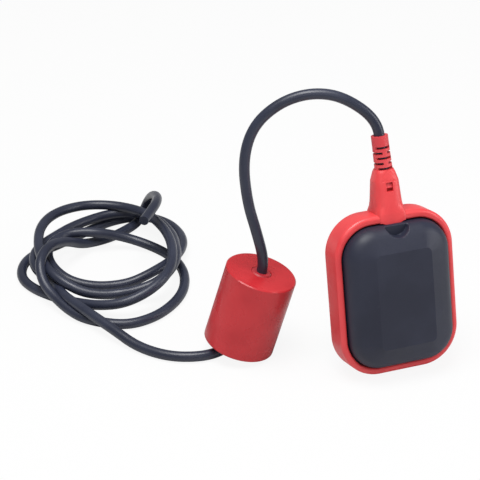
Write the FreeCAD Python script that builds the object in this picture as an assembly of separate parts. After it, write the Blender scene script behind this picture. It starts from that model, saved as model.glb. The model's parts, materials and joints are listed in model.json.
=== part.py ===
"""Cable float level switch with a counterweight: one STEP file for each piece.

Millimetres, +Z up.  The float stands on the floor (z = 0) on its lower edge, leaning back,
with its front face towards -Y and the origin under its middle.
The float is drawn upright first: x across, y through its thickness, z up from its lower edge.
The counterweight is drawn upright too, z up from its bottom.
"""
import FreeCAD, Part
import math
import os

V = FreeCAD.Vector
X, Y, Z = V(1, 0, 0), V(0, 1, 0), V(0, 0, 1)

# ---------------------------------------------------------------- driving dimensions, mm
# float frame: the moulded band with its neck
band_width = 82.5
band_height = 105.5
band_corner = 25.5
band_depth = 20.0
band_side = 4.25            # wall at the two sides
band_foot = 4.6             # wall at the lower edge
band_head = 5.4             # wall under the neck
band_round = 2.6            # outer edges
lip_round = 1.4             # inner edges
web_depth = 4.0             # inner ledge that the covers close on
web_reach = 3.0
neck_base_width = 25.0
neck_base_depth = 20.6
neck_lip_width = 16.8       # the neck's foot laps over the front lip in a shallow arc
neck_lip_drop = 1.6
neck_width = 20.4
neck_depth = 15.4
neck_length = 20.6          # from the band's top to the shoulder
neck_corner = 3.2
shoulder_length = 7.2
shoulder_end = 13.0         # across the top of the neck, where the sleeve comes out
shoulder_corner = 6.2

# covers
cover_wall = 2.4
cover_seat = 2.8            # how far the cover's edge lies behind the band's face
cover_rise = 16.8           # from that edge to the flat panel
cover_gap = 0.1
groove_width = 0.7
groove_depth = 1.7
panel_width = 38.5
panel_height = 63.0
panel_corner = 3.6
panel_drop = 0.4            # how far the panel's middle lies below the cover's
facet_rise = 2.4            # height of the flat slope round the panel
scoop_radius = 9.2          # half-moon recess under the neck
gasket_depth = 1.0
post_radius = 2.5
post_spread = 13.0
post_pitch = 44.0
# the cover's rounded shoulder: how far in towards the panel, how far up towards the slope
cover_shoulder = [(0.0, 0.0), (0.03, 0.38), (0.11, 0.60), (0.26, 0.79), (0.46, 0.92), (0.63, 1.0)]

# cable and strain relief
cable_diameter = 7.0
sleeve_fit = 0.1
sleeve_sunk = 1.6           # how far the sleeve's foot reaches down into the neck
throat_gap = 0.5            # the wider throat lets the leaning cable through
sleeve_foot_diameter = 11.6
sleeve_top_diameter = 11.0
sleeve_length = 21.9
sleeve_lean = 3.5           # degrees, pulled over by the cable
collar_length = 6.6
slot_height = 1.6
slot_pitch = 3.4
slot_rows = 5
broad_slot_angle = 128.0    # slots at the front and back
narrow_rib_angle = 33.0     # ribs at the front and back in the rows between them
plug_width = 14.6
plug_depth = 10.4
plug_length = 17.6
plug_corner = 2.0
plug_fit = 0.2
shoulder_wall = 5.0         # from the plug's top to the neck's top
window_width = 4.6
window_height = 5.8
window_drop = 0.6           # from the shoulder down to the window
latch_height = 3.4
latch_reach = 2.2
latch_slope = 1.2
pocket_depth = 1.0
grommet_length = 4.0
cable_hole_gap = 0.3

# sealed switch box inside the float
box_width = 40.0
box_wall = 2.0
box_bottom = 15.0
box_top = 84.0
box_front = 13.0            # from the float's middle plane
box_back = 15.0
lid_depth = 2.0
boss_radius = 2.4
screw_diameter = 1.8
screw_head = 3.6
screw_head_height = 1.2
screw_length = 9.0
ball_diameter = 18.0
ball_travel = 21.0
rest_gap = 0.05
track_fit = 0.3
track_wall = 1.7
track_length = 36.0
track_foot = 12.8
track_foot_depth = 2.0

# snap-action switch
lever_gap = 0.45            # between the raised ball and the lever
lever_width = 3.8
lever_thickness = 0.5
lever_length = 17.0
lever_room = 2.1            # between the lever and the case
pin_diameter = 1.0
pin_fit = 0.05
case_width = 20.0
case_depth = 6.4
case_height = 10.0
case_wall = 1.0
ear_width = 2.4
case_post_radius = 2.0
case_post_spread = 6.0
plunger_diameter = 2.0
plunger_head = 2.8
plunger_head_height = 0.8
plunger_arm = 5.0           # from the lever's pin
plunger_gap = 0.1
lever_play = 0.5            # the lever's free swing before it meets the plunger
blade_thickness = 0.3
blade_length = 14.0
blade_room = 0.7            # above the plunger's head
tag_width = 3.2
tag_thickness = 0.6
tag_length = 3.5
common_tag = -7.5
open_tag = 1.5
closed_tag = 8.3
contact_radius = 0.7
contact_height = 0.3
contact_reach = 2.3         # from the closed tag to the contact
contact_gap = 1.2
core_diameter = 2.4
core_spread = 1.6
core_straight = 2.0
jacket_reach = 1.0          # how far the jacket runs into the box
clamp_width = 24.0
clamp_depth = 5.0
clamp_height = 4.2
clamp_screw_spread = 8.0

# counterweight
weight_diameter = 47.5
weight_length = 55.5
weight_edge = 0.7
weight_foot_round = 1.0
weight_wall = 2.2
weight_roof = 2.5
bore_diameter = 8.6
bore_wall = 2.0
mouth_diameter = 26.0
mouth_depth = 18.0
base_depth = 2.2
base_fit = 0.05
collar_reach = 4.0
collar_depth = 1.8
ballast_length = 24.0
ballast_fit = 0.3
ring_diameter = 13.2
ring_length = 6.4
ring_stand = 0.6            # how far the stop ring stands out of the top
ring_edge = 0.8
ring_fit = 0.3
ring_rest = 0.2

# how the pieces lie, degrees and mm
float_lean = 14.2
weight_tilt = 15.7
weight_heading = -20.5      # direction in which the weight leans, from +X
weight_place = (-89.5, 44.8)
coil_place = (-143.0, 175.0)
coil_heading = -20.5
coil_half_width = 61.0
coil_half_depth = 78.0
coil_side_band = 26.0
coil_end_band = 30.0
coil_height = 22.0
coil_round = 5.0

# the cable's route, chosen by hand
sleeve_run = 15.0           # straight out of the sleeve
weight_run = 7.5            # straight out of the weight's top
bore_top_run = 8.0          # from the weight's top down to the end of the arch
mouth_run = 11.0            # straight above the mouth's bend
mouth_bend = 11.0           # height of the bend above the weight's bottom
arch_points = [(-25.0, 39.0, 178.5), (-41.5, 45.5, 180.0), (-59.0, 50.5, 174.0), (-76.0, 54.5, 158.5),
               (-83.5, 53.0, 136.0), (-82.5, 47.0, 108.5), (-78.0, 42.5, 89.0)]
lead_points = [(-93.7, 43.4, 8.4), (-103.3, 41.6, 3.6), (-118.5, 40.2, 3.6), (-138.0, 48.0, 3.6),
               (-153.5, 67.0, 3.6), (-164.5, 88.0, 5.5), (-173.0, 107.0, 9.5)]
tail_points = [(-183.5, 181.5, 17.0), (-171.0, 189.5, 24.5), (-155.0, 184.5, 25.5), (-139.0, 184.5, 25.5),
               (-120.0, 198.0, 25.0), (-107.0, 214.5, 24.5), (-94.5, 224.0, 25.5), (-83.0, 222.0, 32.5),
               (-80.0, 210.5, 40.5), (-90.5, 197.0, 43.0), (-104.5, 182.5, 41.0), (-115.0, 168.5, 41.0)]

# ---------------------------------------------------------------- sizes worked out from them
cable_radius = cable_diameter / 2
opening_width = band_width - 2 * band_side
opening_height = band_height - band_foot - band_head
opening_corner = band_corner - band_side
opening_top = band_foot + opening_height
opening_mid = band_foot + opening_height / 2
cover_edge = band_depth / 2 - cover_seat
cover_rim = web_depth / 2 + gasket_depth
panel_face = cover_edge + cover_rise
neck_top = band_height + neck_length
sleeve_foot = neck_top + shoulder_length
sleeve_top = sleeve_foot + sleeve_length
sleeve_bore = cable_radius + sleeve_fit
plug_top = sleeve_foot - shoulder_wall
plug_bottom = plug_top - plug_length
socket_bottom = plug_bottom - grommet_length
window_top = neck_top - window_drop
window_foot = window_top - window_height
latch_foot = window_top - latch_height

ball_radius = ball_diameter / 2
box_floor = box_bottom + box_wall
box_ceiling = box_top - box_wall
ball_rest = box_floor + rest_gap + ball_radius
track_radius = ball_radius + track_fit
lever_low = ball_rest + ball_radius + ball_travel + lever_gap
lever_high = lever_low + lever_thickness
pin_x = -case_width / 2 + ear_width / 2
pin_z = lever_high + lever_thickness
case_bottom = lever_high + lever_room
case_top = case_bottom + case_height
case_mid = case_bottom + case_height / 2
case_seam = case_depth / 2 - case_wall
plunger_x = pin_x + plunger_arm
head_low = case_bottom + case_wall + plunger_gap
blade_low = head_low + plunger_head_height + blade_room
tag_top = case_top + tag_length
jacket_end = box_ceiling - jacket_reach

weight_radius = weight_diameter / 2
bore_radius = bore_diameter / 2
ring_top = weight_length + ring_stand
ring_low = ring_top - ring_length


# ---------------------------------------------------------------- drawing helpers
def rounded_outline(width, height, corner, y, mid_z):
    """Closed rounded rectangle, upright at the depth y."""
    edges = []
    for sx, sz, start in ((1, 1, 0), (-1, 1, 90), (-1, -1, 180), (1, -1, 270)):
        centre = V(sx * (width / 2 - corner), y, mid_z + sz * (height / 2 - corner))
        bend = [centre + V(math.cos(math.radians(a)), 0, math.sin(math.radians(a))) * corner
                for a in (start, start + 45, start + 90)]
        if edges:
            edges.append(Part.makeLine(edges[-1].Vertexes[-1].Point, bend[0]))
        edges.append(Part.Arc(*bend).toShape())
    edges.append(Part.makeLine(edges[-1].Vertexes[-1].Point, edges[0].Vertexes[0].Point))
    return Part.Wire(edges)


def level_outline(width, depth, corner, z):
    """Closed rounded rectangle, level at the height z."""
    wire = rounded_outline(width, depth, corner, 0, 0)
    wire.rotate(V(), X, 90)
    wire.translate(V(0, 0, z))
    return wire


def plate(width, height, corner, y0, y1, mid_z):
    """Rounded plate from the depth y0 to the depth y1."""
    return Part.Face(rounded_outline(width, height, corner, y0, mid_z)).extrude(V(0, y1 - y0, 0))


def opening_plate(inset, y0, y1):
    """Plate of the band's opening, smaller by the inset all round."""
    return plate(opening_width - 2 * inset, opening_height - 2 * inset, opening_corner - inset,
                 y0, y1, opening_mid)


def block(x0, x1, y0, y1, z0, z1):
    return Part.makeBox(abs(x1 - x0), abs(y1 - y0), abs(z1 - z0), V(min(x0, x1), min(y0, y1), min(z0, z1)))


def rod(radius, start, end):
    """Round bar from one point to another."""
    return Part.makeCylinder(radius, (end - start).Length, start, end - start)


def upright(radius, z0, z1):
    """Round bar on the Z axis."""
    return rod(radius, V(0, 0, z0), V(0, 0, z1))


def turned(profile):
    """Solid of revolution about Z from (radius, height) corners."""
    points = [V(r, 0, z) for r, z in profile]
    return Part.Face(Part.makePolygon(points + points[:1])).revolve(V(), Z, 360)


def sector(z0, z1, middle, spread):
    """Pie slice about Z, wider than the sleeve; the angles start at the front (-Y)."""
    piece = Part.makeCylinder(sleeve_foot_diameter, z1 - z0, V(0, 0, z0), Z, spread)
    piece.rotate(V(), Z, middle - spread / 2 - 90)
    return piece


def bent_bar(radius, points, share=0.45):
    """Round bar along straight runs joined by tangent arcs: the solid, its path and the bend radii.

    The share is how much of the shorter run each arc takes up.
    """
    edges, radii, start = [], [], points[0]
    for before, corner, after in zip(points, points[1:], points[2:]):
        into, out = corner - before, after - corner
        half_turn = into.getAngle(out) / 2
        cut = share * min(into.Length, out.Length)
        bend = cut / math.tan(half_turn)
        into.normalize()
        out.normalize()
        inward = (out - into).normalize()
        centre = corner + inward * (bend / math.cos(half_turn))
        edges.append(Part.LineSegment(start, corner - into * cut).toShape())
        start = corner + out * cut
        edges.append(Part.Arc(corner - into * cut, centre - inward * bend, start).toShape())
        radii.append(bend)
    edges.append(Part.LineSegment(start, points[-1]).toShape())
    path = Part.Wire(edges)
    section = Part.Wire(Part.makeCircle(radius, points[0], points[1] - points[0]))
    return path.makePipeShell([section], True, False), path, radii


def cable_run(name, points, share=0.45):
    """A stretch of the cable; prints its length, its bends and a check of its volume."""
    solid, path, radii = bent_bar(cable_radius, points, share)
    bends = [round(r / cable_diameter, 1) for r in radii]
    ratio = solid.Volume / (math.pi * cable_radius ** 2 * path.Length)
    print(name, round(path.Length, 1), "mm, bends in diameters", bends, "volume ratio", round(ratio, 4))
    return solid


# ---------------------------------------------------------------- float frame
def is_rim(edge):
    """True for an edge on one of the band's two faces."""
    box = edge.BoundBox
    return box.YLength < 0.01 and abs(abs(box.Center.y) - band_depth / 2) < 0.01


def is_lip(edge):
    """True for an edge of the opening on one of the band's two faces."""
    box = edge.BoundBox
    across = max(abs(box.XMin), abs(box.XMax)) < opening_width / 2 + 0.01
    return is_rim(edge) and across and box.ZMin > band_foot - 0.01 and box.ZMax < opening_top + 0.01


def make_neck():
    """Tapered neck with its shoulder, and the foot that laps over the opening's edge."""
    sections = [(neck_base_width, neck_base_depth, neck_corner, opening_top),
                (neck_base_width, neck_base_depth, neck_corner, band_height),
                (neck_width, neck_depth, neck_corner, neck_top),
                (shoulder_end, shoulder_end, shoulder_corner, sleeve_foot)]
    outlines = [level_outline(*section) for section in sections]
    stages = [Part.makeLoft([low, high], True, True) for low, high in zip(outlines, outlines[1:])]
    neck = stages[0].multiFuse(stages[1:])

    reach, face = neck_lip_width / 2, neck_base_depth / 2
    arc_radius = (reach ** 2 + neck_lip_drop ** 2) / (2 * neck_lip_drop)
    arc_mid = opening_top - neck_lip_drop + arc_radius
    lap = rod(arc_radius, V(0, -face, arc_mid), V(0, face, arc_mid))
    lap = lap.common(block(-reach, reach, -face, face, opening_top - neck_lip_drop, opening_top + 1))
    inner = cover_edge + cover_gap
    return neck.fuse(lap.cut(block(-reach, reach, -inner, inner, opening_top - neck_lip_drop, opening_top)))


def cable_hole():
    """The cable's way from the box up to the grommet's socket."""
    return upright(cable_radius + cable_hole_gap, box_top, plug_top)


def make_frame():
    """Band with its inner ledge and the neck: one moulding."""
    half = band_depth / 2
    band = plate(band_width, band_height, band_corner, -half, half, band_height / 2)
    band = band.makeFillet(band_round, [e for e in band.Edges if is_rim(e)])
    band = band.cut(opening_plate(0, -half - 1, half + 1))
    band = band.makeFillet(lip_round, [e for e in band.Edges if is_lip(e)])
    web = opening_plate(-band_side / 4, -web_depth / 2, web_depth / 2)
    web = web.cut(opening_plate(web_reach, -web_depth, web_depth))
    frame = band.fuse(web).fuse(make_neck())

    socket = Part.Face(level_outline(plug_width + 2 * plug_fit, plug_depth + 2 * plug_fit, plug_corner,
                                     socket_bottom))
    frame = frame.cut(socket.extrude(V(0, 0, plug_top - socket_bottom)))
    frame = frame.cut(upright(sleeve_foot_diameter / 2 + plug_fit, plug_top - 1, sleeve_foot + 1))
    frame = frame.cut(cable_hole())
    frame = frame.cut(block(-window_width / 2, window_width / 2, -neck_base_depth, -plug_depth / 2,
                            window_foot, window_top))
    return frame.removeSplitter()


# ---------------------------------------------------------------- covers
def pillow(side, inset):
    """Rounded shoulder and flat slope of a cover, smaller by the inset for its hollow."""
    edge_width = opening_width - 2 * groove_width
    edge_height = opening_height - 2 * groove_width
    edge_corner = opening_corner - groove_width
    outlines = []
    for inward, upward in cover_shoulder:
        depth = cover_edge + upward * (cover_rise - facet_rise) - (inset if upward else 0)
        outlines.append(rounded_outline(edge_width - inward * (edge_width - panel_width) - 2 * inset,
                                        edge_height - inward * (edge_height - panel_height) - 2 * inset,
                                        edge_corner - inward * (edge_corner - panel_corner) - inset,
                                        side * depth, opening_mid - inward * panel_drop))
    panel = rounded_outline(panel_width - inset, panel_height - inset, panel_corner - inset / 2,
                            side * (panel_face - inset), opening_mid - panel_drop)
    shoulder = Part.makeLoft(outlines, True, False)
    return shoulder.fuse(Part.makeLoft([outlines[-1], panel], True, True))


def make_cover(side):
    """Pillow-shaped cover; side is -1 at the front and 1 at the back."""
    skin = pillow(side, 0)
    rim = opening_plate(cover_gap, side * cover_rim, side * (cover_edge - groove_depth))
    land = opening_plate(groove_width, side * cover_rim, side * cover_edge)
    hollow = opening_plate(groove_width + cover_wall, side * cover_rim, side * cover_edge)
    cover = skin.fuse(rim).fuse(land).cut(hollow).cut(pillow(side, cover_wall))

    # half-moon recess under the neck, with its own floor and wall
    scoop_z = opening_top
    behind = side * (cover_edge - cover_wall)
    lining = rod(scoop_radius + cover_wall, V(0, behind, scoop_z), V(0, side * panel_face, scoop_z))
    cover = cover.fuse(lining.common(skin.fuse(land)))
    cover = cover.cut(rod(scoop_radius, V(0, side * cover_edge, scoop_z), V(0, side * panel_face, scoop_z)))

    # posts that hold the switch box
    seat = box_back if side > 0 else box_front + lid_depth
    for x in (-post_spread, post_spread):
        for z in (opening_mid - post_pitch / 2, opening_mid + post_pitch / 2):
            post = rod(post_radius, V(x, side * seat, z), V(x, side * (panel_face - cover_wall / 2), z))
            cover = cover.fuse(post)
    return cover.cut(cable_hole()).removeSplitter()


def make_gasket(side):
    """Flat seal between the inner ledge and a cover's rim."""
    seal = opening_plate(cover_gap, side * web_depth / 2, side * cover_rim)
    return seal.cut(opening_plate(web_reach, 0, side * panel_face)).cut(cable_hole())


# ---------------------------------------------------------------- strain relief
def make_sleeve():
    """Slotted sleeve: rings joined by ribs that change sides from row to row."""
    slots_top = sleeve_top - collar_length
    foot_radius, top_radius = sleeve_foot_diameter / 2, sleeve_top_diameter / 2
    sunk = sleeve_foot - sleeve_sunk
    sleeve = turned([(0, sunk), (foot_radius, sunk), (foot_radius, sleeve_foot),
                     (top_radius, slots_top), (top_radius, sleeve_top), (0, sleeve_top)])
    for row in range(slot_rows):
        top = slots_top - row * slot_pitch
        middles, spread = ((0, 180), broad_slot_angle) if row % 2 == 0 else ((90, 270), 180 - narrow_rib_angle)
        for middle in middles:
            sleeve = sleeve.cut(sector(top - slot_height, top, middle, spread))
    return lean(sleeve)


def lean(shape):
    """Tip what is above the neck sideways, as the cable pulls it."""
    shape.rotate(V(0, 0, sleeve_foot), Y, -sleeve_lean)
    return shape


def make_relief():
    """Strain relief: the sleeve on a plug whose latch snaps into the neck's window."""
    plug = Part.Face(level_outline(plug_width, plug_depth, plug_corner, plug_bottom))
    plug = plug.extrude(V(0, 0, plug_length))
    front = -plug_depth / 2
    plug = plug.cut(block(-window_width / 2, window_width / 2, front, front + pocket_depth, window_foot, latch_foot))
    tongue_width = window_width - 2 * plug_fit
    nose = [V(-tongue_width / 2, front + pocket_depth, latch_foot),
            V(-tongue_width / 2, front - latch_reach, latch_foot),
            V(-tongue_width / 2, front - latch_reach + latch_slope, window_top - plug_fit),
            V(-tongue_width / 2, front + pocket_depth, window_top - plug_fit)]
    latch = Part.Face(Part.makePolygon(nose + nose[:1])).extrude(V(tongue_width, 0, 0))
    throat_top = sleeve_foot - sleeve_sunk / 4
    stem = upright(sleeve_foot_diameter / 2 - throat_gap, plug_top, sleeve_foot - sleeve_sunk / 2)
    body = plug.fuse(latch).fuse(stem).fuse(make_sleeve())
    body = body.cut(upright(sleeve_bore, plug_bottom, plug_top))
    body = body.cut(upright(cable_radius + throat_gap, plug_top - throat_gap, throat_top))
    return body.cut(lean(upright(sleeve_bore, throat_top - throat_gap, sleeve_top))).removeSplitter()


def make_grommet():
    """Rubber seal round the cable under the plug."""
    body = Part.Face(level_outline(plug_width, plug_depth, plug_corner, socket_bottom))
    return body.extrude(V(0, 0, grommet_length)).cut(upright(cable_radius, socket_bottom, plug_bottom))


# ---------------------------------------------------------------- switch box
def corner_places():
    """Middles of the box's four screw bosses, as (x, z)."""
    x = box_width / 2 - box_wall - boss_radius / 2
    low, high = box_floor + boss_radius / 2, box_ceiling - boss_radius / 2
    return [(sx * x, z) for sx in (-1, 1) for z in (low, high)]


def along_y(radius, x, z, y0, y1):
    """Round bar through the float's thickness."""
    return rod(radius, V(x, y0, z), V(x, y1, z))


def make_box():
    """Switch box, open at the front, with the rear half of the cable clamp on top."""
    side = box_width / 2
    box = block(-side, side, -box_front, box_back, box_bottom, box_top)
    box = box.cut(block(box_wall - side, side - box_wall, -box_front, box_back - box_wall, box_floor, box_ceiling))
    floor = box_back - box_wall / 2
    for x, z in corner_places():
        box = box.fuse(along_y(boss_radius, x, z, -box_front, floor))
    for x in (-case_post_spread, case_post_spread):
        box = box.fuse(along_y(case_post_radius, x, case_mid, case_depth / 2, floor))
    box = box.fuse(block(-clamp_width / 2, clamp_width / 2, 0, clamp_depth, box_top, box_top + clamp_height))
    for x, z in corner_places():
        box = box.cut(along_y(screw_diameter / 2, x, z, -box_front, screw_length - box_front - lid_depth))
    for x in (-clamp_screw_spread, clamp_screw_spread):
        box = box.cut(along_y(screw_diameter / 2, x, box_top + clamp_height / 2, 0, screw_length - clamp_depth))
    return box.cut(upright(cable_radius, jacket_end, box_top + clamp_height)).removeSplitter()


def make_lid():
    """Front lid of the box, with the two posts that hold the switch."""
    side, face = box_width / 2, -box_front - lid_depth
    lid = block(-side, side, face, -box_front, box_bottom, box_top)
    for x in (-case_post_spread, case_post_spread):
        lid = lid.fuse(along_y(case_post_radius, x, case_mid, -box_front, -case_depth / 2))
    for x, z in corner_places():
        lid = lid.cut(along_y(screw_diameter / 2, x, z, face, -box_front))
    return lid


def screw(x, z, face):
    """Screw through the depth of the float, its head on the face."""
    shank = along_y(screw_diameter / 2, x, z, face, face + screw_length)
    return shank.fuse(along_y(screw_head / 2, x, z, face - screw_head_height, face))


def make_lid_screws():
    return Part.makeCompound([screw(x, z, -box_front - lid_depth) for x, z in corner_places()])


def make_clamp():
    """Front half of the cable clamp."""
    saddle = block(-clamp_width / 2, clamp_width / 2, -clamp_depth, 0, box_top, box_top + clamp_height)
    for x in (-clamp_screw_spread, clamp_screw_spread):
        saddle = saddle.cut(along_y(screw_diameter / 2, x, box_top + clamp_height / 2, -clamp_depth, 0))
    return saddle.cut(upright(cable_radius, box_top, box_top + clamp_height))


def make_clamp_screws():
    places = (-clamp_screw_spread, clamp_screw_spread)
    return Part.makeCompound([screw(x, box_top + clamp_height / 2, -clamp_depth) for x in places])


def make_track():
    """Guide tube for the ball, on a round foot."""
    tube = upright(track_radius + track_wall, box_floor, box_floor + track_length)
    foot = upright(track_foot, box_floor, box_floor + track_foot_depth)
    return tube.fuse(foot).cut(upright(track_radius, box_floor, box_floor + track_length)).removeSplitter()


def make_ball():
    return Part.makeSphere(ball_radius, V(0, 0, ball_rest))


# ---------------------------------------------------------------- snap-action switch
def make_ear(y0, y1):
    """Lug under the case that carries the lever's pin."""
    left = pin_x - ear_width / 2
    ear = block(left, left + ear_width, y0, y1, pin_z - ear_width / 2, case_bottom)
    return ear.cut(along_y(pin_diameter / 2, pin_x, pin_z, y0, y1))


def tag_slots():
    """Space of the three terminals in the case's top wall."""
    return [block(x - tag_thickness / 2, x + tag_thickness / 2, -tag_width / 2, tag_width / 2,
                  case_top - case_wall, case_top) for x in (common_tag, open_tag, closed_tag)]


def make_case():
    """Open case of the switch with one of the two lugs."""
    side, back = case_width / 2, -case_depth / 2
    case = block(-side, side, back, case_seam, case_bottom, case_top)
    case = case.cut(block(case_wall - side, side - case_wall, back + case_wall, case_seam,
                          case_bottom + case_wall, case_top - case_wall))
    case = case.cut(rod(plunger_diameter / 2 + pin_fit, V(plunger_x, 0, case_bottom),
                        V(plunger_x, 0, case_bottom + case_wall)))
    for slot in tag_slots():
        case = case.cut(slot)
    return case.fuse(make_ear(back, back + case_wall)).removeSplitter()


def make_case_cover():
    """Flat cover of the case with the other lug."""
    plate_shape = block(-case_width / 2, case_width / 2, case_seam, case_depth / 2, case_bottom, case_top)
    return plate_shape.fuse(make_ear(case_seam, case_depth / 2)).removeSplitter()


def make_lever():
    """Lever strip with an eye round the pin."""
    half = lever_width / 2
    strip = block(pin_x, pin_x + lever_length, -half, half, lever_low, lever_high)
    eye = along_y(pin_z - lever_low, pin_x, pin_z, -half, half)
    return strip.fuse(eye).cut(along_y(pin_diameter / 2 + pin_fit, pin_x, pin_z, -half, half)).removeSplitter()


def make_pin():
    return along_y(pin_diameter / 2, pin_x, pin_z, -case_depth / 2, case_depth / 2)


def make_plunger():
    """Push button of the switch, held by its head inside the case."""
    stem = rod(plunger_diameter / 2, V(plunger_x, 0, lever_high + lever_play), V(plunger_x, 0, head_low))
    return stem.fuse(rod(plunger_head / 2, V(plunger_x, 0, head_low),
                         V(plunger_x, 0, head_low + plunger_head_height)))


def tag(x, low):
    """Terminal strip from the height low up to the soldering end."""
    return block(x - tag_thickness / 2, x + tag_thickness / 2, -tag_width / 2, tag_width / 2, low, tag_top)


def make_blade():
    """Contact blade, fixed to the common terminal."""
    start = common_tag + tag_thickness / 2
    return block(start, start + blade_length, -tag_width / 2, tag_width / 2, blade_low, blade_low + blade_thickness)


def make_common():
    return tag(common_tag, blade_low - tag_thickness)


def contact(z0, z1):
    """Contact rivet over or under the blade's free end."""
    x = closed_tag - contact_reach
    return rod(contact_radius, V(x, 0, z0), V(x, 0, z1))


def make_closed():
    """Terminal whose contact the blade rests on."""
    foot_top = blade_low - contact_height
    foot = block(closed_tag - contact_reach - contact_radius, closed_tag, -tag_width / 2, tag_width / 2,
                 foot_top - tag_thickness, foot_top)
    return tag(closed_tag, foot_top - tag_thickness).fuse(foot).fuse(contact(foot_top, blade_low)).removeSplitter()


def make_open():
    """Terminal whose contact the blade snaps up to."""
    contact_low = blade_low + blade_thickness + contact_gap
    foot_low = contact_low + contact_height
    foot = block(open_tag, closed_tag - contact_reach + contact_radius, -tag_width / 2, tag_width / 2,
                 foot_low, foot_low + tag_thickness)
    return tag(open_tag, foot_low).fuse(foot).fuse(contact(contact_low, foot_low)).removeSplitter()


def make_core(x, angle):
    """One of the cable's cores, from the jacket's end to the terminal at x."""
    y = core_spread * math.sin(math.radians(angle))
    start = V(core_spread * math.cos(math.radians(angle)), y, jacket_end)
    end = V(x, 0, tag_top)
    return bent_bar(core_diameter / 2, [start, start - Z * core_straight, end + Z * core_straight, end])[0]


# ---------------------------------------------------------------- counterweight
def make_weight_shell():
    """Plastic cup with the cable's bore and the seat of the stop ring."""
    inside = weight_radius - weight_wall
    roof = weight_length - weight_roof
    seat, seat_floor = ring_diameter / 2 + ring_fit, ring_low - ring_rest
    shell = turned([(weight_radius, 0), (weight_radius, weight_length), (seat, weight_length),
                    (seat, seat_floor), (bore_radius, seat_floor), (bore_radius, mouth_depth),
                    (bore_radius + bore_wall, mouth_depth), (bore_radius + bore_wall, seat_floor - bore_wall),
                    (seat + bore_wall, seat_floor - bore_wall), (seat + bore_wall, roof), (inside, roof),
                    (inside, 0)])
    outer = [e for e in shell.Edges if abs(e.BoundBox.XMax - weight_radius) < 0.01 and e.BoundBox.ZLength < 0.01]
    bottom = [e for e in outer if e.BoundBox.ZMax < 1]
    shell = shell.makeFillet(weight_foot_round, bottom)
    top = [e for e in shell.Edges if abs(e.BoundBox.XMax - weight_radius) < 0.01
           and e.BoundBox.ZLength < 0.01 and e.BoundBox.ZMin > roof]
    return shell.makeChamfer(weight_edge, top)


def mouth_radius(z):
    """Radius of the flared mouth at the height z."""
    return mouth_diameter / 2 + (bore_radius - mouth_diameter / 2) * z / mouth_depth


def make_weight_base():
    """Bottom of the weight with the flared mouth for the cable and the ballast's seat."""
    rim = weight_radius - weight_wall - base_fit
    collar_low = mouth_depth - collar_depth
    return turned([(mouth_radius(0), 0), (rim, 0), (rim, base_depth), (mouth_radius(base_depth) + bore_wall, base_depth),
                   (mouth_radius(collar_low) + bore_wall, collar_low), (bore_radius + collar_reach, collar_low),
                   (bore_radius + collar_reach, mouth_depth), (bore_radius, mouth_depth)])


def make_ballast():
    """Iron ring on the base's collar."""
    outer = weight_radius - weight_wall - ballast_fit
    inner = bore_radius + bore_wall + ballast_fit
    top = mouth_depth + ballast_length
    return turned([(inner, mouth_depth), (outer, mouth_depth), (outer, top), (inner, top)])


def make_stop_ring():
    """Ring pressed on the cable, in the weight's top."""
    outer = ring_diameter / 2
    return turned([(cable_radius, ring_low), (outer, ring_low), (outer, ring_top - ring_edge),
                   (outer - ring_edge, ring_top), (cable_radius, ring_top)])


def place_weight(shape):
    """Tilt the upright weight onto its lower edge and set it in its place."""
    tilt = math.radians(weight_tilt)
    lift = (weight_radius - weight_foot_round) * math.sin(tilt) + weight_foot_round * (1 - math.cos(tilt))
    shape.rotate(V(), Y, weight_tilt)
    shape.rotate(V(), Z, weight_heading)
    shape.translate(V(*weight_place, lift))
    return shape


def weight_point(z):
    """Point on the weight's axis at the height z above its bottom."""
    return place_weight(Part.Vertex(0, 0, z)).Point


# ---------------------------------------------------------------- cable
def make_entry():
    """Jacket from the switch box to the end of the sleeve."""
    tip = lean(Part.Vertex(0, 0, sleeve_top)).Point
    return cable_run("cable_entry", [V(0, 0, jacket_end), V(0, 0, sleeve_foot), tip], 0.05)


def make_arc(exit_point, exit_direction):
    """Arch from the sleeve over to the weight."""
    points = [exit_point, exit_point + exit_direction * sleeve_run]
    points += [V(*p) for p in arch_points]
    return cable_run("cable_arc", points + [weight_point(weight_length + weight_run),
                                            weight_point(weight_length - bore_top_run)])


def make_bore_cable():
    """Straight cable through the weight."""
    return rod(cable_radius, weight_point(weight_length - bore_top_run), weight_point(mouth_bend + mouth_run))


def make_lead():
    """From the weight's mouth over the floor to the coil."""
    points = [weight_point(mouth_bend + mouth_run), weight_point(mouth_bend)]
    return cable_run("cable_lead", points + [V(*p) for p in lead_points])


def oval(half_width, half_depth):
    """Level oval about the coil's middle, longer from front to back."""
    curve = Part.Ellipse(V(), half_depth, half_width).toShape()
    curve.rotate(V(), Z, 90)
    return Part.Face(Part.Wire(curve)).extrude(V(0, 0, coil_height))


def make_coil():
    """Outer form of the coiled cable."""
    outer = oval(coil_half_width, coil_half_depth)
    outer = outer.makeFillet(coil_round, [e for e in outer.Edges if e.BoundBox.ZLength < 0.01])
    coil = outer.cut(oval(coil_half_width - coil_side_band, coil_half_depth - coil_end_band))
    coil.rotate(V(), Z, coil_heading)
    coil.translate(V(*coil_place, 0))
    return coil


def make_tail():
    """Free end of the cable, lifted out of the coil and hooked back over it."""
    return cable_run("cable_tail", [V(*p) for p in tail_points])


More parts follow.
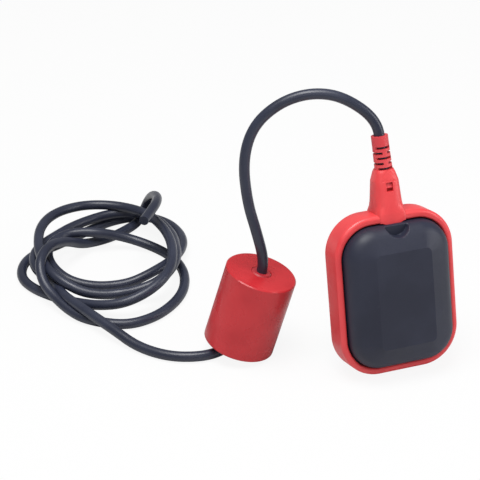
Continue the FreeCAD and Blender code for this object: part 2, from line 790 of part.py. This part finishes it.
# ---------------------------------------------------------------- the assembly
def float_pieces():
    """Everything that leans with the float, drawn upright."""
    return {
        "bumper_frame": make_frame(),
        "front_shell": make_cover(-1),
        "rear_shell": make_cover(1),
        "front_gasket": make_gasket(-1),
        "rear_gasket": make_gasket(1),
        "strain_relief": make_relief(),
        "cable_grommet": make_grommet(),
        "switch_box": make_box(),
        "box_lid": make_lid(),
        "lid_screws": make_lid_screws(),
        "ball_track": make_track(),
        "steel_ball": make_ball(),
        "microswitch_case": make_case(),
        "microswitch_cover": make_case_cover(),
        "actuator_lever": make_lever(),
        "lever_pin": make_pin(),
        "switch_plunger": make_plunger(),
        "contact_blade": make_blade(),
        "terminal_common": make_common(),
        "terminal_open": make_open(),
        "terminal_closed": make_closed(),
        "core_brown": make_core(common_tag, 180),
        "core_black": make_core(open_tag, 60),
        "core_blue": make_core(closed_tag, -60),
        "cable_clamp": make_clamp(),
        "clamp_screws": make_clamp_screws(),
        "cable_entry": make_entry(),
    }


def weight_pieces():
    return {
        "weight_shell": make_weight_shell(),
        "weight_base": make_weight_base(),
        "ballast": make_ballast(),
        "stop_ring": make_stop_ring(),
    }


def main():
    pieces = float_pieces()
    for piece in pieces.values():
        piece.rotate(V(), X, -float_lean)
    body = Part.makeCompound([pieces[name] for name in ("bumper_frame", "front_shell", "rear_shell", "strain_relief")])
    bounds = body.optimalBoundingBox(False, False)
    shift = V(0, -bounds.Center.y, -bounds.ZMin)
    for piece in pieces.values():
        piece.translate(shift)

    def stand(x, z):
        """Where a point on the float's middle plane comes to stand."""
        place = Part.Vertex(x, 0, z)
        place.rotate(V(), X, -float_lean)
        return place.Point + shift

    for name, x, z in (("ball", 0, ball_rest), ("lever pin", pin_x, pin_z), ("plunger", plunger_x, head_low)):
        print(name, "at", [round(c, 4) for c in stand(x, z)])
    print("float up", [round(c, 5) for c in stand(0, 1) - stand(0, 0)])
    last, end = V(*tail_points[-2]), V(*tail_points[-1])
    print("cable end at", list(end), "pointing", [round(c, 5) for c in (end - last).normalize()])
    print("weight axis", [round(c, 5) for c in weight_point(1) - weight_point(0)],
          "bottom", [round(c, 4) for c in weight_point(0)])

    for name, piece in weight_pieces().items():
        pieces[name] = place_weight(piece)
    tip = lean(Part.Vertex(0, 0, sleeve_top)).Point
    foot = lean(Part.Vertex(0, 0, sleeve_foot)).Point
    exit_point = stand(tip.x, tip.z)
    exit_direction = (exit_point - stand(foot.x, foot.z)).normalize()
    pieces["cable_arc"] = make_arc(exit_point, exit_direction)
    pieces["cable_bore"] = make_bore_cable()
    pieces["cable_lead"] = make_lead()
    pieces["cable_coil"] = make_coil()
    pieces["cable_tail"] = make_tail()

    os.makedirs("parts", exist_ok=True)
    for name, piece in pieces.items():
        piece.exportStep("parts/" + name + ".step")


main()
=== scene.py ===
"""Looks of the cable float level switch: its cable, its neck, the finishes, the studio.

The scene is in metres in the frame of the CAD model; sizes named below are in millimetres
unless they say otherwise.  Most pieces are the CAD nodes with better finishes.  The cable is
one curve that replaces its CAD stretches, copies with a slimmer neck replace three nodes of the
float, and an inlay makes the half-moon in the front cover shallower.
"""
import bmesh
import bpy
import json
import math
import numpy as np
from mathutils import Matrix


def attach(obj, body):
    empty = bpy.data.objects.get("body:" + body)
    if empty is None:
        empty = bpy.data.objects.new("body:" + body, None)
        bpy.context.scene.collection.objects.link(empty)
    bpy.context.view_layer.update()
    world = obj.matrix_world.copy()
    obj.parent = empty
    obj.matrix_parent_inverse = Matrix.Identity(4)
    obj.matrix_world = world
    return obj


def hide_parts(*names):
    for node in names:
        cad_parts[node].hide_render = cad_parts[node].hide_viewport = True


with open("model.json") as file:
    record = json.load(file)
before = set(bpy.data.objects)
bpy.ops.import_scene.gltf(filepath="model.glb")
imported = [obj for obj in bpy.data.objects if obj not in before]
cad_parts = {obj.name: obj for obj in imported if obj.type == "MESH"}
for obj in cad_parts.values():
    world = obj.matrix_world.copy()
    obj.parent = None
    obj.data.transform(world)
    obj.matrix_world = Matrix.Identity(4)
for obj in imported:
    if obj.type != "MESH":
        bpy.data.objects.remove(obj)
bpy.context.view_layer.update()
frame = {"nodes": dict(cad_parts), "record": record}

MM = 0.001


# ---------------------------------------------------------------- the cable's route
CABLE_DIAMETER = 7.0 * MM
CABLE_STEPS = 8

SLEEVE_EXIT = (-1.34, 25.4, 152.3)
SLEEVE_RUN = (-1.95, 27.85, 162.0)
ARCH = [(-21.0, 37.0, 177.0), (-39.5, 44.5, 180.0), (-59.0, 50.5, 174.0), (-76.0, 54.5, 158.5),
        (-83.5, 53.0, 136.0), (-82.5, 47.0, 108.5), (-78.0, 42.5, 89.0)]
# The counterweight's axis, and how far along it the cable's points lie.
WEIGHT_BOTTOM = (-89.5, 44.8, 6.1935)
WEIGHT_AXIS = (0.25346, -0.09477, 0.96269)
WEIGHT_STATIONS = (63.0, 47.5, 22.0, 11.0)
# From the counterweight to the coil.
LEAD = [(-93.7, 43.4, 8.4), (-103.3, 41.6, 3.6), (-118.5, 40.2, 3.6), (-138.0, 48.0, 3.6),
        (-153.5, 67.0, 3.6), (-163.5, 86.0, 8.0)]

COIL_MIDDLE = (-143.0, 175.0)
COIL_HEADING = math.radians(-20.5)
FIRST_CLOCK = math.radians(-105.0)
CLOCK_STEP = math.radians(-30.0)
POINTS_PER_STEP = 2
# Reach from the coil's middle and height of the centreline, at twelve clock positions a turn.
TURNS = [
    [(63, 11), (45, 10), (49, 10), (53, 10.5), (54, 10.5), (63.2, 11.2),
     (75.5, 12.2), (62.5, 12.0), (52, 16), (53, 18), (54, 14), (45, 8.5)],
    [(47, 11), (47, 18), (45, 18), (50, 21), (62.5, 22), (74.2, 18.5),
     (68.5, 18), (52, 22.5), (47, 24.5), (51, 24.5), (62, 20.5), (64, 11.5)],
    [(53, 5.5), (52, 3.5), (59.5, 3.5), (59, 3.5), (52, 3.5), (61, 3.5),
     (85.6, 3.5), (73, 6.5), (55, 9.5), (39, 9), (29, 5), (25, 4)],
    [(27, 5), (33, 8), (38, 12), (42.5, 15), (43, 15.5), (35, 15.5),
     (39, 10), (46, 4.5), (52, 3.5), (60, 3.5), (71, 3.5), (80, 3.5)],
    [(67, 4.5)],
]
# The end climbs over the coil's left side, dips under its back and hooks over the top turn.
CLIMB = [(-191.5, 146.5, 9.8), (-194.5, 157.0, 16.8), (-192.0, 168.5, 24.8), (-181.0, 184.0, 26.0),
         (-165.0, 198.5, 19.0)]
HOOK = [(-150.5, 208.5, 8.5), (-138.0, 214.5, 5.0), (-125.0, 219.5, 3.8), (-114.0, 225.0, 3.7),
        (-104.5, 231.0, 3.7), (-98.0, 236.5, 4.2), (-92.8, 240.0, 10.5), (-90.0, 237.5, 19.5),
        (-89.5, 229.0, 27.5), (-90.0, 218.0, 33.0), (-92.6, 205.5, 37.0), (-98.0, 192.5, 40.0),
        (-104.5, 182.5, 41.0), (-115.0, 168.5, 41.0)]
# Least height of the centreline, so that the turns lie on the floor.
FLOOR_CLEARANCE = 3.6


def weight_points():
    """Points on the counterweight's axis: its bottom plus each station's length of the axis."""
    stations = np.array(WEIGHT_STATIONS)[:, None]
    return np.array(WEIGHT_BOTTOM) + stations * np.array(WEIGHT_AXIS)


def coil_points():
    """The turns: reach and height run smoothly from one clock position to the next.

    Between two stations the value is the Catmull-Rom cubic through them and their neighbours,
    and each point lies at its reach from the coil's middle, in its clock direction.
    """
    stations = np.array([pair for turn in TURNS for pair in turn], float)
    padded = np.vstack([stations[:1], stations, stations[-1:]])
    place = np.arange((len(stations) - 1) * POINTS_PER_STEP + 1) / POINTS_PER_STEP
    index = np.minimum(place.astype(int), len(stations) - 2)
    t = (place - index)[:, None]
    before, here, there, after = (padded[index + k] for k in range(4))
    slope = (there - before) * t
    bow = (2 * before - 5 * here + 4 * there - after) * t ** 2
    twist = (3 * here - before - 3 * there + after) * t ** 3
    reach, height = (here + (slope + bow + twist) / 2).T
    height = np.maximum(height, FLOOR_CLEARANCE)
    angle = FIRST_CLOCK + CLOCK_STEP * place + COIL_HEADING
    x = COIL_MIDDLE[0] + reach * np.cos(angle)
    y = COIL_MIDDLE[1] + reach * np.sin(angle)
    return np.column_stack([x, y, height])


def cable_route():
    """All of the spline's points from the float's sleeve to the bare end, in metres."""
    stretches = [[SLEEVE_EXIT, SLEEVE_RUN], ARCH, weight_points(), LEAD, coil_points(), CLIMB, HOOK]
    return np.vstack(stretches) * MM


def smooth_curve(name, points, radius):
    """One open NURBS spline of order 3 with these control points, swept by a round section."""
    data = bpy.data.curves.new(name, "CURVE")
    data.dimensions = "3D"
    spline = data.splines.new("NURBS")
    spline.points.add(len(points) - 1)
    spline.points.foreach_set("co", np.column_stack([points, np.ones(len(points))]).ravel())
    spline.order_u = 3
    spline.use_endpoint_u = True
    spline.resolution_u = CABLE_STEPS
    data.resolution_u = CABLE_STEPS
    data.render_resolution_u = CABLE_STEPS
    data.bevel_depth = radius
    data.bevel_resolution = CABLE_STEPS
    data.use_fill_caps = True
    piece = bpy.data.objects.new(name, data)
    bpy.context.scene.collection.objects.link(piece)
    return piece


def line_length(curve_piece):
    """Length of the spline's own line, summed along the curve without its round section."""
    data = curve_piece.data.copy()
    data.bevel_depth = 0
    probe = bpy.data.objects.new("probe", data)
    mesh = bpy.data.meshes.new_from_object(probe)
    places = np.empty(len(mesh.vertices) * 3)
    mesh.vertices.foreach_get("co", places)
    places = places.reshape(-1, 3)
    bpy.data.objects.remove(probe)
    return float(np.linalg.norm(np.diff(places, axis=0), axis=1).sum())


# ---------------------------------------------------------------- the float's changed shapes
FLOAT_LEAN = math.radians(14.2)
FLOAT_SHIFT = np.array([0.0, -12.7437, 1.8947])

# Half-widths across the neck, what they are drawn in to, and the heights between which that acts.
NECK_WIDE = [0.0, 5.5, 12.6, 15.7, 60.0]
NECK_SLIM = [0.0, 5.5, 9.95, 15.7, 60.0]
NECK_HEIGHTS = [96.0, 98.0, 133.3, 133.4]

# The slim neck's half-widths and half-depths at four heights.
NECK_LEVELS = [105.5, 126.1, 133.3, 134.0]
NECK_HALF_WIDTHS = [9.89, 8.45, 6.13, 6.13]
NECK_HALF_DEPTHS = [10.3, 7.7, 6.5, 6.5]
# The skin that is divided lies between these heights, within the margins; its edges longer than
# the grain are cut.  The rounding comes in over the ramp's height.
NECK_SPAN = (105.5, 126.1)
LEVEL_MARGIN = 0.1
SKIN_MARGIN = 0.05
NECK_GRAIN = 2.5
NECK_CUTS = 5
NECK_RAMP = 5.0
# Powers of the norms that fit the neck's section as it comes, and as it is rounded.
SQUARE_POWER = 7
OVAL_POWER = 3.2

# Metres, and degrees up to which two faces shade as one.
MERGE_DISTANCE = 1e-6
SMOOTH_BODY = 32
SMOOTH_DISH = 60

# The front cover's edge: its depth at the rim, its rise, and steps inward and upward as shares.
COVER_EDGE = 7.2
COVER_RISE = 14.4
COVER_SHOULDER = [(0.0, 0.0), (0.03, 0.38), (0.11, 0.60), (0.26, 0.79), (0.46, 0.92), (0.63, 1.0)]
COVER_TOP = 99.4
PANEL_TOP = 83.45
# The half-moon's middle and reach in the cover, and the shallower dish in its inlay.
SCOOP_MIDDLE = 100.1
SCOOP_REACH = 9.25
DISH_REACH = 8.4
DISH_SLOPE = 0.35
DISH_FLOOR = 13.2
DISH_BACK = 7.1
DISH_ROWS = 49
DISH_COLUMNS = 65


def stand_up(places):
    """Places in metres turned to millimetres in the float's own upright frame."""
    x, y, z = (places / MM - FLOAT_SHIFT).T
    cos, sin = math.cos(FLOAT_LEAN), math.sin(FLOAT_LEAN)
    return np.column_stack([x, y * cos - z * sin, y * sin + z * cos])


def lean_back(places):
    """The way back: from the float's upright frame to metres in the scene."""
    x, y, z = places.T
    cos, sin = math.cos(FLOAT_LEAN), math.sin(FLOAT_LEAN)
    return (np.column_stack([x, y * cos + z * sin, z * cos - y * sin]) + FLOAT_SHIFT) * MM


def float_piece(name, places, faces, slot, smooth_angle):
    """A closed mesh that rides on the float: doubles merged, faces outward, neck rounded."""
    mesh = bpy.data.meshes.new(name)
    mesh.from_pydata(places.tolist(), [], faces)
    shape = bmesh.new()
    shape.from_mesh(mesh)
    bmesh.ops.remove_doubles(shape, verts=shape.verts, dist=MERGE_DISTANCE)
    bmesh.ops.recalc_face_normals(shape, faces=shape.faces)
    round_neck(shape)
    shape.to_mesh(mesh)
    shape.free()
    mesh.shade_smooth()
    mesh.set_sharp_from_angle(angle=math.radians(smooth_angle))
    mesh.materials.append(FINISHES[slot])
    piece = bpy.data.objects.new(name, mesh)
    bpy.context.scene.collection.objects.link(piece)
    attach(piece, "float")
    return piece


def neck_reach(places, power):
    """Size of the section through each point as a share of the neck's own, in a power norm."""
    across = np.abs(places[:, 0]) / np.interp(places[:, 2], NECK_LEVELS, NECK_HALF_WIDTHS)
    along = np.abs(places[:, 1]) / np.interp(places[:, 2], NECK_LEVELS, NECK_HALF_DEPTHS)
    return (across ** power + along ** power) ** (1 / power)


def round_neck(shape):
    """Softens the neck's four upright edges into one rounded section.

    The neck's long outer faces are divided.  Then each point outside the oval that touches the
    section's four sides is drawn in to it, more and more from the band upwards.
    """
    foot, head = NECK_SPAN
    places = stand_up(np.array([vert.co[:] for vert in shape.verts]))
    level = (places[:, 2] > foot - LEVEL_MARGIN) & (places[:, 2] < head + LEVEL_MARGIN)
    skin = level & (np.abs(neck_reach(places, SQUARE_POWER) - 1) < SKIN_MARGIN)
    shape.verts.ensure_lookup_table()
    chosen = {shape.verts[k] for k in np.flatnonzero(skin)}
    if not chosen:
        return
    faces = [face for face in shape.faces if chosen.issuperset(face.verts)]
    edges = list(dict.fromkeys(edge for face in faces for edge in face.edges
                               if edge.calc_length() > NECK_GRAIN * MM))
    bmesh.ops.subdivide_edges(shape, edges=edges, cuts=NECK_CUTS, use_grid_fill=True)
    bmesh.ops.triangulate(shape, faces=[face for face in shape.faces if len(face.verts) > 4])
    places = stand_up(np.array([vert.co[:] for vert in shape.verts]))
    share = np.interp(places[:, 2], [foot, foot + NECK_RAMP, *NECK_HEIGHTS[2:]], [0, 1, 1, 0])
    oval = 1 / np.maximum(neck_reach(places, OVAL_POWER), 1)
    places[:, :2] *= (1 + (oval - 1) * share)[:, None]
    for vert, place in zip(shape.verts, lean_back(places)):
        vert.co = place


def slim_neck(node, name, slot):
    """A copy of a CAD node with the neck's sides drawn in; the socket and the plug follow."""
    old = frame["nodes"][node].data
    places = np.empty(len(old.vertices) * 3)
    old.vertices.foreach_get("co", places)
    x, y, z = stand_up(places.reshape(-1, 3)).T
    drawn = np.interp(np.abs(x), NECK_WIDE, NECK_SLIM) - np.abs(x)
    share = np.interp(z, NECK_HEIGHTS, [0, 1, 1, 0])
    moved = np.column_stack([x + np.sign(x) * drawn * share, y, z])
    faces = [tuple(face.vertices) for face in old.polygons]
    piece = float_piece(name, lean_back(moved), faces, slot, SMOOTH_BODY)
    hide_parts(node)
    return piece


def cover_depth(z):
    """How far the cover's face stands forward at a height, along its rounded top edge."""
    inward, upward = np.array(COVER_SHOULDER).T
    heights = COVER_TOP - inward * (COVER_TOP - PANEL_TOP)
    return np.interp(z, heights[::-1], COVER_EDGE + COVER_RISE * upward[::-1])


def scoop_dish():
    """Inlay that keeps the half-moon under the neck shallow.

    Rows of points run across the half-moon, from its straight top edge to the foot of its arc.
    The face is the cover's own rounded edge, and inside the dish's reach it steps down smoothly
    to a flat floor; the back is flat.
    """
    row, side = np.meshgrid(np.linspace(0, 1, DISH_ROWS), np.linspace(-1, 1, DISH_COLUMNS),
                            indexing="ij")
    z = COVER_TOP - (COVER_TOP - SCOOP_MIDDLE + SCOOP_REACH) * np.sin(row * math.pi / 2)
    x = side * np.sqrt(np.maximum(SCOOP_REACH ** 2 - (SCOOP_MIDDLE - z) ** 2, 0))
    step = np.clip((DISH_REACH - np.hypot(x, SCOOP_MIDDLE - z)) / DISH_SLOPE, 0, 1)
    dip = np.maximum(cover_depth(z) - DISH_FLOOR, 0) * step ** 2 * (3 - 2 * step)
    face = np.stack([x, dip - cover_depth(z), z], axis=-1)
    back = np.stack([x, np.full_like(x, -DISH_BACK), z], axis=-1)
    places = np.concatenate([face.reshape(-1, 3), back.reshape(-1, 3)])
    number = np.arange(x.size).reshape(x.shape)
    a, b, c, d = number[:-1, :-1], number[:-1, 1:], number[1:, 1:], number[1:, :-1]
    sheet = np.stack([a, b, c, d], axis=-1).reshape(-1, 4)
    ring = np.concatenate([number[0], number[1:, -1], number[-1, -2::-1], number[-2:0:-1, 0]])
    after = np.roll(ring, -1)
    wall = np.stack([ring, after, after + x.size, ring + x.size], axis=-1)
    faces = np.concatenate([sheet, sheet[:, ::-1] + x.size, wall]).tolist()
    return float_piece("scoop_dish", lean_back(places), faces, "black_plastic", SMOOTH_DISH)


# ---------------------------------------------------------------- finishes
def linear(red, green, blue):
    """An sRGB colour, 0 to 255, as the linear colour that the shader takes."""
    values = np.array([red, green, blue]) / 255
    low, high = values / 12.92, ((values + 0.055) / 1.055) ** 2.4
    return tuple(float(v) for v in np.where(values <= 0.04045, low, high)) + (1.0,)


class Finish:
    """A node material built up in layers on one Principled shader."""

    def __init__(self, name):
        self.material = bpy.data.materials.new(name)
        self.material.use_nodes = True
        self.nodes = self.material.node_tree.nodes
        self.links = self.material.node_tree.links
        self.shader = self.nodes["Principled BSDF"]
        self.place = self.nodes.new("ShaderNodeTexCoord").outputs["Object"]

    def stretched(self, scale):
        """Object coordinates with a scale of their own along each axis."""
        mapping = self.nodes.new("ShaderNodeMapping")
        mapping.inputs["Scale"].default_value = scale
        self.links.new(self.place, mapping.inputs["Vector"])
        return mapping.outputs["Vector"]

    def noise(self, scale, detail=3.0, roughness=0.5, vector=None):
        node = self.nodes.new("ShaderNodeTexNoise")
        node.inputs["Scale"].default_value = scale
        node.inputs["Detail"].default_value = detail
        node.inputs["Roughness"].default_value = roughness
        self.links.new(vector or self.place, node.inputs["Vector"])
        return node.outputs["Fac"]

    def span(self, value, low, high, to_low, to_high):
        """The value's range from low to high carried over to another range, and held there."""
        node = self.nodes.new("ShaderNodeMapRange")
        node.interpolation_type = "SMOOTHSTEP"
        self.links.new(value, node.inputs["Value"])
        limits = {"From Min": low, "From Max": high, "To Min": to_low, "To Max": to_high}
        for key, number in limits.items():
            node.inputs[key].default_value = number
        return node.outputs["Result"]

    def blend(self, factor, first, second):
        """Mix of two colours; each is a colour or another node's output."""
        node = self.nodes.new("ShaderNodeMix")
        node.data_type = "RGBA"
        self.links.new(factor, node.inputs[0])
        for socket, colour in ((node.inputs[6], first), (node.inputs[7], second)):
            if isinstance(colour, tuple):
                socket.default_value = colour
            else:
                self.links.new(colour, socket)
        return node.outputs[2]

    def add(self, first, second):
        node = self.nodes.new("ShaderNodeMath")
        node.operation = "ADD"
        self.links.new(first, node.inputs[0])
        self.links.new(second, node.inputs[1])
        return node.outputs[0]

    def relief(self, height, strength, distance):
        """Bump from a height, added to the bumps set before it."""
        node = self.nodes.new("ShaderNodeBump")
        node.inputs["Strength"].default_value = strength
        node.inputs["Distance"].default_value = distance
        self.links.new(height, node.inputs["Height"])
        if self.shader.inputs["Normal"].is_linked:
            self.links.new(self.shader.inputs["Normal"].links[0].from_socket, node.inputs["Normal"])
        self.links.new(node.outputs["Normal"], self.shader.inputs["Normal"])

    def colour(self, output):
        self.links.new(output, self.shader.inputs["Base Color"])

    def rough(self, output):
        self.links.new(output, self.shader.inputs["Roughness"])

    def set(self, **sockets):
        for key, number in sockets.items():
            self.shader.inputs[key.replace("_", " ")].default_value = number


def moulded(name, plain, deep, worn, roughness, grain=900.0, grain_depth=0.4, gloss=0.5):
    """Injection-moulded plastic: cloudy colour, a fine spark-eroded grain, rubbed patches."""
    finish = Finish(name)
    cloud = finish.span(finish.noise(38.0, 4.0), 0.35, 0.68, 0.0, 1.0)
    body = finish.blend(cloud, linear(*plain), linear(*deep))
    rub = finish.span(finish.noise(21.0, 8.0, 0.72), 0.6, 0.78, 0.0, 0.55)
    finish.colour(finish.blend(rub, body, linear(*worn)))
    fine = finish.noise(grain, 2.0)
    finish.relief(fine, grain_depth, 0.00006)
    finish.relief(finish.noise(60.0, 3.0), 0.25, 0.0004)
    patch = finish.span(finish.noise(70.0, 5.0), 0.3, 0.7, roughness - 0.06, roughness + 0.07)
    finish.rough(patch)
    finish.set(Specular_IOR_Level=gloss)
    return finish.material


def scuffed_cover():
    """Black float cover: satin black with a cool tone, hair scratches and dusty rubs."""
    finish = Finish("cover_black")
    cloud = finish.span(finish.noise(24.0, 5.0), 0.36, 0.66, 0.0, 1.0)
    body = finish.blend(cloud, linear(25, 28, 45), linear(34, 37, 54))
    hair = finish.noise(420.0, 2.0, 0.5, finish.stretched((0.06, 1.0, 1.0)))
    other = finish.noise(420.0, 2.0, 0.5, finish.stretched((1.0, 1.0, 0.06)))
    scratch = finish.add(finish.span(hair, 0.7, 0.74, 0.0, 0.5),
                         finish.span(other, 0.71, 0.75, 0.0, 0.5))
    where = finish.span(finish.noise(30.0, 6.0, 0.7), 0.52, 0.68, 0.0, 1.0)
    both = finish.nodes.new("ShaderNodeMath")
    both.operation = "MULTIPLY"
    finish.links.new(scratch, both.inputs[0])
    finish.links.new(where, both.inputs[1])
    dust = finish.span(finish.noise(16.0, 8.0, 0.75), 0.55, 0.8, 0.0, 0.35)
    dusty = finish.blend(dust, body, linear(58, 61, 76))
    finish.colour(finish.blend(both.outputs[0], dusty, linear(92, 95, 110)))
    finish.relief(finish.noise(1100.0, 2.0), 0.3, 0.00004)
    finish.relief(finish.noise(34.0, 3.0), 0.35, 0.0008)
    finish.rough(finish.span(finish.noise(46.0, 6.0, 0.65), 0.3, 0.7, 0.44, 0.56))
    finish.set(Specular_IOR_Level=0.42)
    return finish.material


def cable_jacket():
    """Blue-black rubber jacket: satin, with a fine uneven grain and dusty marks."""
    finish = Finish("cable_jacket")
    cloud = finish.span(finish.noise(30.0, 5.0), 0.35, 0.68, 0.0, 1.0)
    body = finish.blend(cloud, linear(33, 37, 53), linear(45, 49, 65))
    mark = finish.span(finish.noise(90.0, 8.0, 0.75), 0.6, 0.82, 0.0, 0.4)
    finish.colour(finish.blend(mark, body, linear(84, 88, 104)))
    finish.relief(finish.noise(700.0, 3.0), 0.35, 0.00007)
    finish.relief(finish.noise(120.0, 2.0), 0.3, 0.0002)
    finish.rough(finish.span(finish.noise(55.0, 5.0), 0.3, 0.7, 0.3, 0.42))
    finish.set(Specular_IOR_Level=0.45)
    return finish.material


def metal(name, plain, deep, roughness, brushed=(1.0, 1.0, 1.0)):
    """Bare metal: cloudy colour, fine working marks along one axis, dull patches."""
    finish = Finish(name)
    cloud = finish.span(finish.noise(160.0, 5.0), 0.35, 0.68, 0.0, 1.0)
    finish.colour(finish.blend(cloud, linear(*plain), linear(*deep)))
    marks = finish.noise(900.0, 3.0, 0.6, finish.stretched(brushed))
    finish.relief(marks, 0.3, 0.00004)
    dull = finish.noise(220.0, 6.0, 0.65)
    finish.rough(finish.span(dull, 0.3, 0.7, roughness - 0.08, roughness + 0.1))
    finish.set(Metallic=1.0)
    return finish.material


FINISHES = {
    "red_plastic": moulded("float_red", (220, 66, 69), (210, 56, 62), (236, 96, 98), 0.38),
    "red_relief": moulded("sleeve_red", (216, 68, 73), (204, 58, 65), (230, 96, 100), 0.44),
    "black_plastic": scuffed_cover(),
    "weight_plastic": moulded("weight_red", (192, 44, 50), (180, 36, 43), (208, 72, 77),
                              0.3, gloss=0.35),
    "ring_plastic": moulded("ring_red", (184, 46, 54), (166, 38, 47), (202, 72, 77), 0.4),
    "cable_rubber": cable_jacket(),
    "seal_rubber": moulded("seal_rubber", (44, 44, 48), (34, 34, 38), (70, 70, 74), 0.62, 500.0),
    "box_plastic": moulded("box_grey", (176, 180, 182), (164, 168, 172), (196, 198, 200), 0.45),
    "track_plastic": moulded("track_white", (222, 220, 212), (210, 208, 200), (232, 230, 224),
                             0.35),
    "switch_plastic": moulded("switch_black", (40, 40, 42), (30, 30, 32), (66, 66, 68), 0.4),
    "button_plastic": moulded("button_red", (196, 44, 40), (180, 36, 34), (214, 78, 72), 0.35),
    "steel": metal("bright_steel", (200, 202, 206), (176, 178, 184), 0.24, (1.0, 0.08, 1.0)),
    "iron": metal("cast_iron", (104, 100, 96), (82, 78, 76), 0.52),
    "brass": metal("brass", (214, 180, 112), (196, 158, 92), 0.3, (1.0, 1.0, 0.1)),
    "core_brown": moulded("core_brown", (112, 70, 46), (98, 60, 40), (136, 96, 70), 0.42),
    "core_black": moulded("core_black", (38, 38, 40), (30, 30, 32), (62, 62, 64), 0.42),
    "core_blue": moulded("core_blue", (52, 96, 170), (42, 84, 154), (88, 126, 190), 0.42),
}


def dress_nodes():
    """Gives each CAD node the finish of its slot in the record."""
    for part in frame["record"]["subparts"]:
        piece = frame["nodes"][part["node"]]
        if not piece.material_slots:
            piece.data.materials.append(None)
        for slot in piece.material_slots:
            slot.material = FINISHES[part["material_slot"]]


# ---------------------------------------------------------------- the studio
FLOOR_REACH = 4.0
FLOOR_COLOUR = (0.66, 0.66, 0.66, 1)
FLOOR_GLOW = 0.9
SKY_LEVEL = 0.32
LENS, SENSOR = 136.8, 36.0
CAMERA_PLACE = (-0.4514, -0.9261, 0.6459)
CAMERA_DIP, CAMERA_TURN = 28.49, -20.5
# Name, place, spot that it shines at, width, height, power in watts.
LAMPS = [
    ("key", (-0.28, -0.08, 1.4), (-0.08, 0.1, 0.05), 0.8, 0.8, 22.0),
    ("fill", (0.95, -0.55, 0.55), (-0.05, 0.05, 0.08), 0.5, 0.9, 6.0),
    ("front", (-0.45, -1.4, 0.9), (-0.08, 0.1, 0.08), 1.0, 0.6, 2.0),
]

def aim(piece, spot):
    """Turns a lamp so that it shines at a spot."""
    towards = np.array(spot) - np.array(piece.location)
    flat = math.hypot(towards[0], towards[1])
    tilt = math.pi / 2 + math.atan2(towards[2], flat)
    piece.rotation_euler = (tilt, 0, math.atan2(-towards[0], towards[1]))


def softbox(name, place, spot, width, height, power):
    """Flat lamp with a soft edge to its light."""
    lamp = bpy.data.lights.new(name, "AREA")
    lamp.shape = "RECTANGLE"
    lamp.size = width
    lamp.size_y = height
    lamp.energy = power
    piece = bpy.data.objects.new(name, lamp)
    piece.location = place
    bpy.context.scene.collection.objects.link(piece)
    aim(piece, spot)


def floor():
    """Pale floor that takes the object's soft shadow and looks near white to the camera."""
    mesh = bpy.data.meshes.new("studio_floor")
    corners = np.array([(-1, -1, 0), (1, -1, 0), (1, 1, 0), (-1, 1, 0)]) * FLOOR_REACH
    mesh.from_pydata(corners.tolist(), [], [(0, 1, 2, 3)])
    piece = bpy.data.objects.new("studio_floor", mesh)
    bpy.context.scene.collection.objects.link(piece)
    material = bpy.data.materials.new("studio_floor")
    material.use_nodes = True
    nodes, links = material.node_tree.nodes, material.node_tree.links
    shader = nodes["Principled BSDF"]
    shader.inputs["Base Color"].default_value = FLOOR_COLOUR
    shader.inputs["Roughness"].default_value = 0.9
    glow = nodes.new("ShaderNodeEmission")
    glow.inputs["Color"].default_value = (1, 1, 1, 1)
    glow.inputs["Strength"].default_value = 1.0
    seen = nodes.new("ShaderNodeLightPath").outputs["Is Camera Ray"]
    share = nodes.new("ShaderNodeMath")
    share.operation = "MULTIPLY"
    share.inputs[1].default_value = FLOOR_GLOW
    links.new(seen, share.inputs[0])
    mix = nodes.new("ShaderNodeMixShader")
    links.new(share.outputs[0], mix.inputs[0])
    links.new(shader.outputs[0], mix.inputs[1])
    links.new(glow.outputs[0], mix.inputs[2])
    links.new(mix.outputs[0], nodes["Material Output"].inputs["Surface"])
    mesh.materials.append(material)


def sky():
    """Even white surroundings, plain white where the camera sees them, also through glass."""
    world = bpy.data.worlds.new("studio")
    bpy.context.scene.world = world
    world.use_nodes = True
    nodes, links = world.node_tree.nodes, world.node_tree.links
    back = nodes["Background"]
    back.inputs["Color"].default_value = (1, 1, 1, 1)
    path = nodes.new("ShaderNodeLightPath")
    most = nodes.new("ShaderNodeMath")
    most.operation = "MAXIMUM"
    links.new(path.outputs["Is Camera Ray"], most.inputs[0])
    links.new(path.outputs["Is Transmission Ray"], most.inputs[1])
    level = nodes.new("ShaderNodeMapRange")
    links.new(most.outputs[0], level.inputs["Value"])
    level.inputs["To Min"].default_value = SKY_LEVEL
    level.inputs["To Max"].default_value = 1.0
    links.new(level.outputs["Result"], back.inputs["Strength"])


def camera():
    """Looks down at the object from the front left, with a long lens."""
    data = bpy.data.cameras.new("camera")
    data.sensor_width = SENSOR
    data.lens = LENS
    data.clip_start = 0.05
    data.clip_end = 20.0
    piece = bpy.data.objects.new("camera", data)
    piece.location = CAMERA_PLACE
    piece.rotation_euler = (math.radians(90 - CAMERA_DIP), 0, math.radians(CAMERA_TURN))
    bpy.context.scene.collection.objects.link(piece)
    bpy.context.scene.camera = piece


# ---------------------------------------------------------------- the scene
dress_nodes()
slim_neck("bumper_frame", "bumper_frame_slim", "red_plastic")
slim_neck("strain_relief", "strain_relief_slim", "red_relief")
slim_neck("cable_grommet", "cable_grommet_slim", "seal_rubber")
scoop_dish()

cable = smooth_curve("cable", cable_route(), CABLE_DIAMETER / 2)
cable.data.materials.append(FINISHES["cable_rubber"])
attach(cable, "float")
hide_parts("cable_arc", "cable_bore", "cable_lead", "cable_coil", "cable_tail")
line_length(cable)

floor()
sky()
for lamp in LAMPS:
    softbox(*lamp)
camera()
bpy.context.scene.view_settings.view_transform = "Standard"
